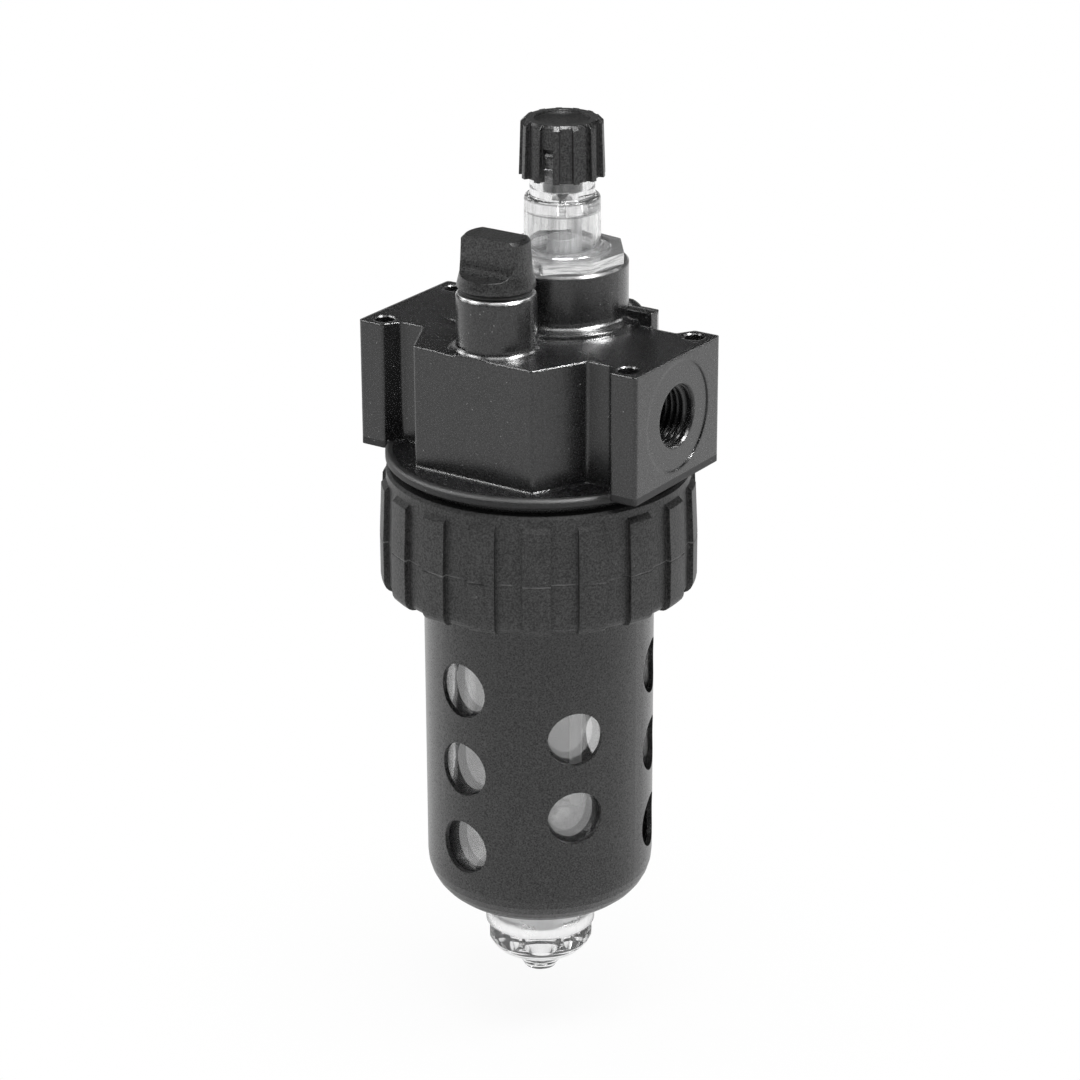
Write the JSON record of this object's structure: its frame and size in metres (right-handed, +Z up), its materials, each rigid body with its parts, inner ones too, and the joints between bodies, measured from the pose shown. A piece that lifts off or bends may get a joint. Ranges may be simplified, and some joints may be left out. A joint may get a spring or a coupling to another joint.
{
  "type": "air line lubricator",
  "caption": "Air line lubricator: a cast block with threaded ports, a clear sight dome with an adjusting knob, a fill plug, and a guarded clear oil bowl held by a lugged ring.",
  "frame": {"origin": "centre of the four bolt holes, in the plane of the deck on top of the block", "axes": "+X is the direction of the air, from the inlet port to the outlet port; +Y runs from the fill boss to the sight dome's tower; +Z points up"},
  "size_m": [0.0692, 0.068, 0.1939],
  "materials": {
    "cast_body": "satin black over a die casting",
    "clear_plastic": "clear moulded plastic",
    "seal_rubber": "matt",
    "plated_metal": "plated",
    "black_plastic": "satin",
    "pale_plastic": "matt",
    "valve_brass": "turned",
    "tube_plastic": "pale, smooth",
    "ring_paint": "matt black",
    "guard_plastic": "satin black"
  },
  "bodies": {
    "housing": {"body": "cast_body", "sight_dome": "clear_plastic", "dome_seal": "seal_rubber", "drip_guide": "pale_plastic", "flow_guide": "pale_plastic", "flow_guide_seal": "seal_rubber", "flap_pin": "plated_metal", "retaining_plate": "plated_metal", "plate_screws": "plated_metal", "siphon_fitting": "valve_brass", "siphon_tube": "tube_plastic", "siphon_strainer": "valve_brass", "check_spring": "plated_metal"},
    "knob": {"adjusting_knob": "black_plastic"},
    "needle": {"needle_valve": "plated_metal", "needle_seal": "seal_rubber"},
    "plug_lift": {"fill_plug_seal": "seal_rubber"},
    "plug": {"fill_plug": "black_plastic"},
    "flap": {"bypass_flap": "plated_metal"},
    "poppet": {"check_poppet": "valve_brass"},
    "ball": {"siphon_ball": "plated_metal"},
    "bowl_set": {"bowl": "clear_plastic", "bowl_guard": "guard_plastic", "bowl_seal": "seal_rubber"},
    "ring": {"clamp_ring": "ring_paint"}
  },
  "joints": [
    {"name": "knob_turn", "type": "hinge", "parent": "housing", "child": "knob", "pos_m": [0, 0.0093, 0.04], "axis": [0, 0, 1], "range_deg": [0, 900]},
    {"name": "needle_lift", "type": "slide", "parent": "knob", "child": "needle", "axis": [0, 0, 1], "range_m": [0, 0.002]},
    {"name": "plug_lift", "type": "slide", "parent": "housing", "child": "plug_lift", "axis": [0, 0, 1], "range_m": [0, 0.0075]},
    {"name": "plug_turn", "type": "hinge", "parent": "plug_lift", "child": "plug", "pos_m": [0, -0.0152, 0.015], "axis": [0, 0, 1], "range_deg": [0, 1800]},
    {"name": "bowl_drop", "type": "slide", "parent": "housing", "child": "bowl_set", "axis": [0, 0, -1], "range_m": [0, 0.009]},
    {"name": "ring_turn", "type": "hinge", "parent": "bowl_set", "child": "ring", "pos_m": [0, 0, -0.04], "axis": [0, 0, 1], "range_deg": [0, 1080]},
    {"name": "flap_swing", "type": "hinge", "parent": "housing", "child": "flap", "pos_m": [0.0023, 0, -0.0077], "axis": [0, -1, 0], "range_deg": [0, 35]},
    {"name": "poppet_lift", "type": "slide", "parent": "housing", "child": "poppet", "axis": [0, 0, -1], "range_m": [0, 0.0012], "deforming": ["check_spring"]},
    {"name": "ball_lift", "type": "slide", "parent": "housing", "child": "ball", "axis": [0, 0, 1], "range_m": [0, 0.001]}
  ],
  "couplings": [
    {"joint": "knob_turn", "follows": "needle_lift", "rad_per_m": 7853.9},
    {"joint": "plug_turn", "follows": "plug_lift", "rad_per_m": 4188.7},
    {"joint": "ring_turn", "follows": "bowl_drop", "rad_per_m": 2094.3}
  ]
}
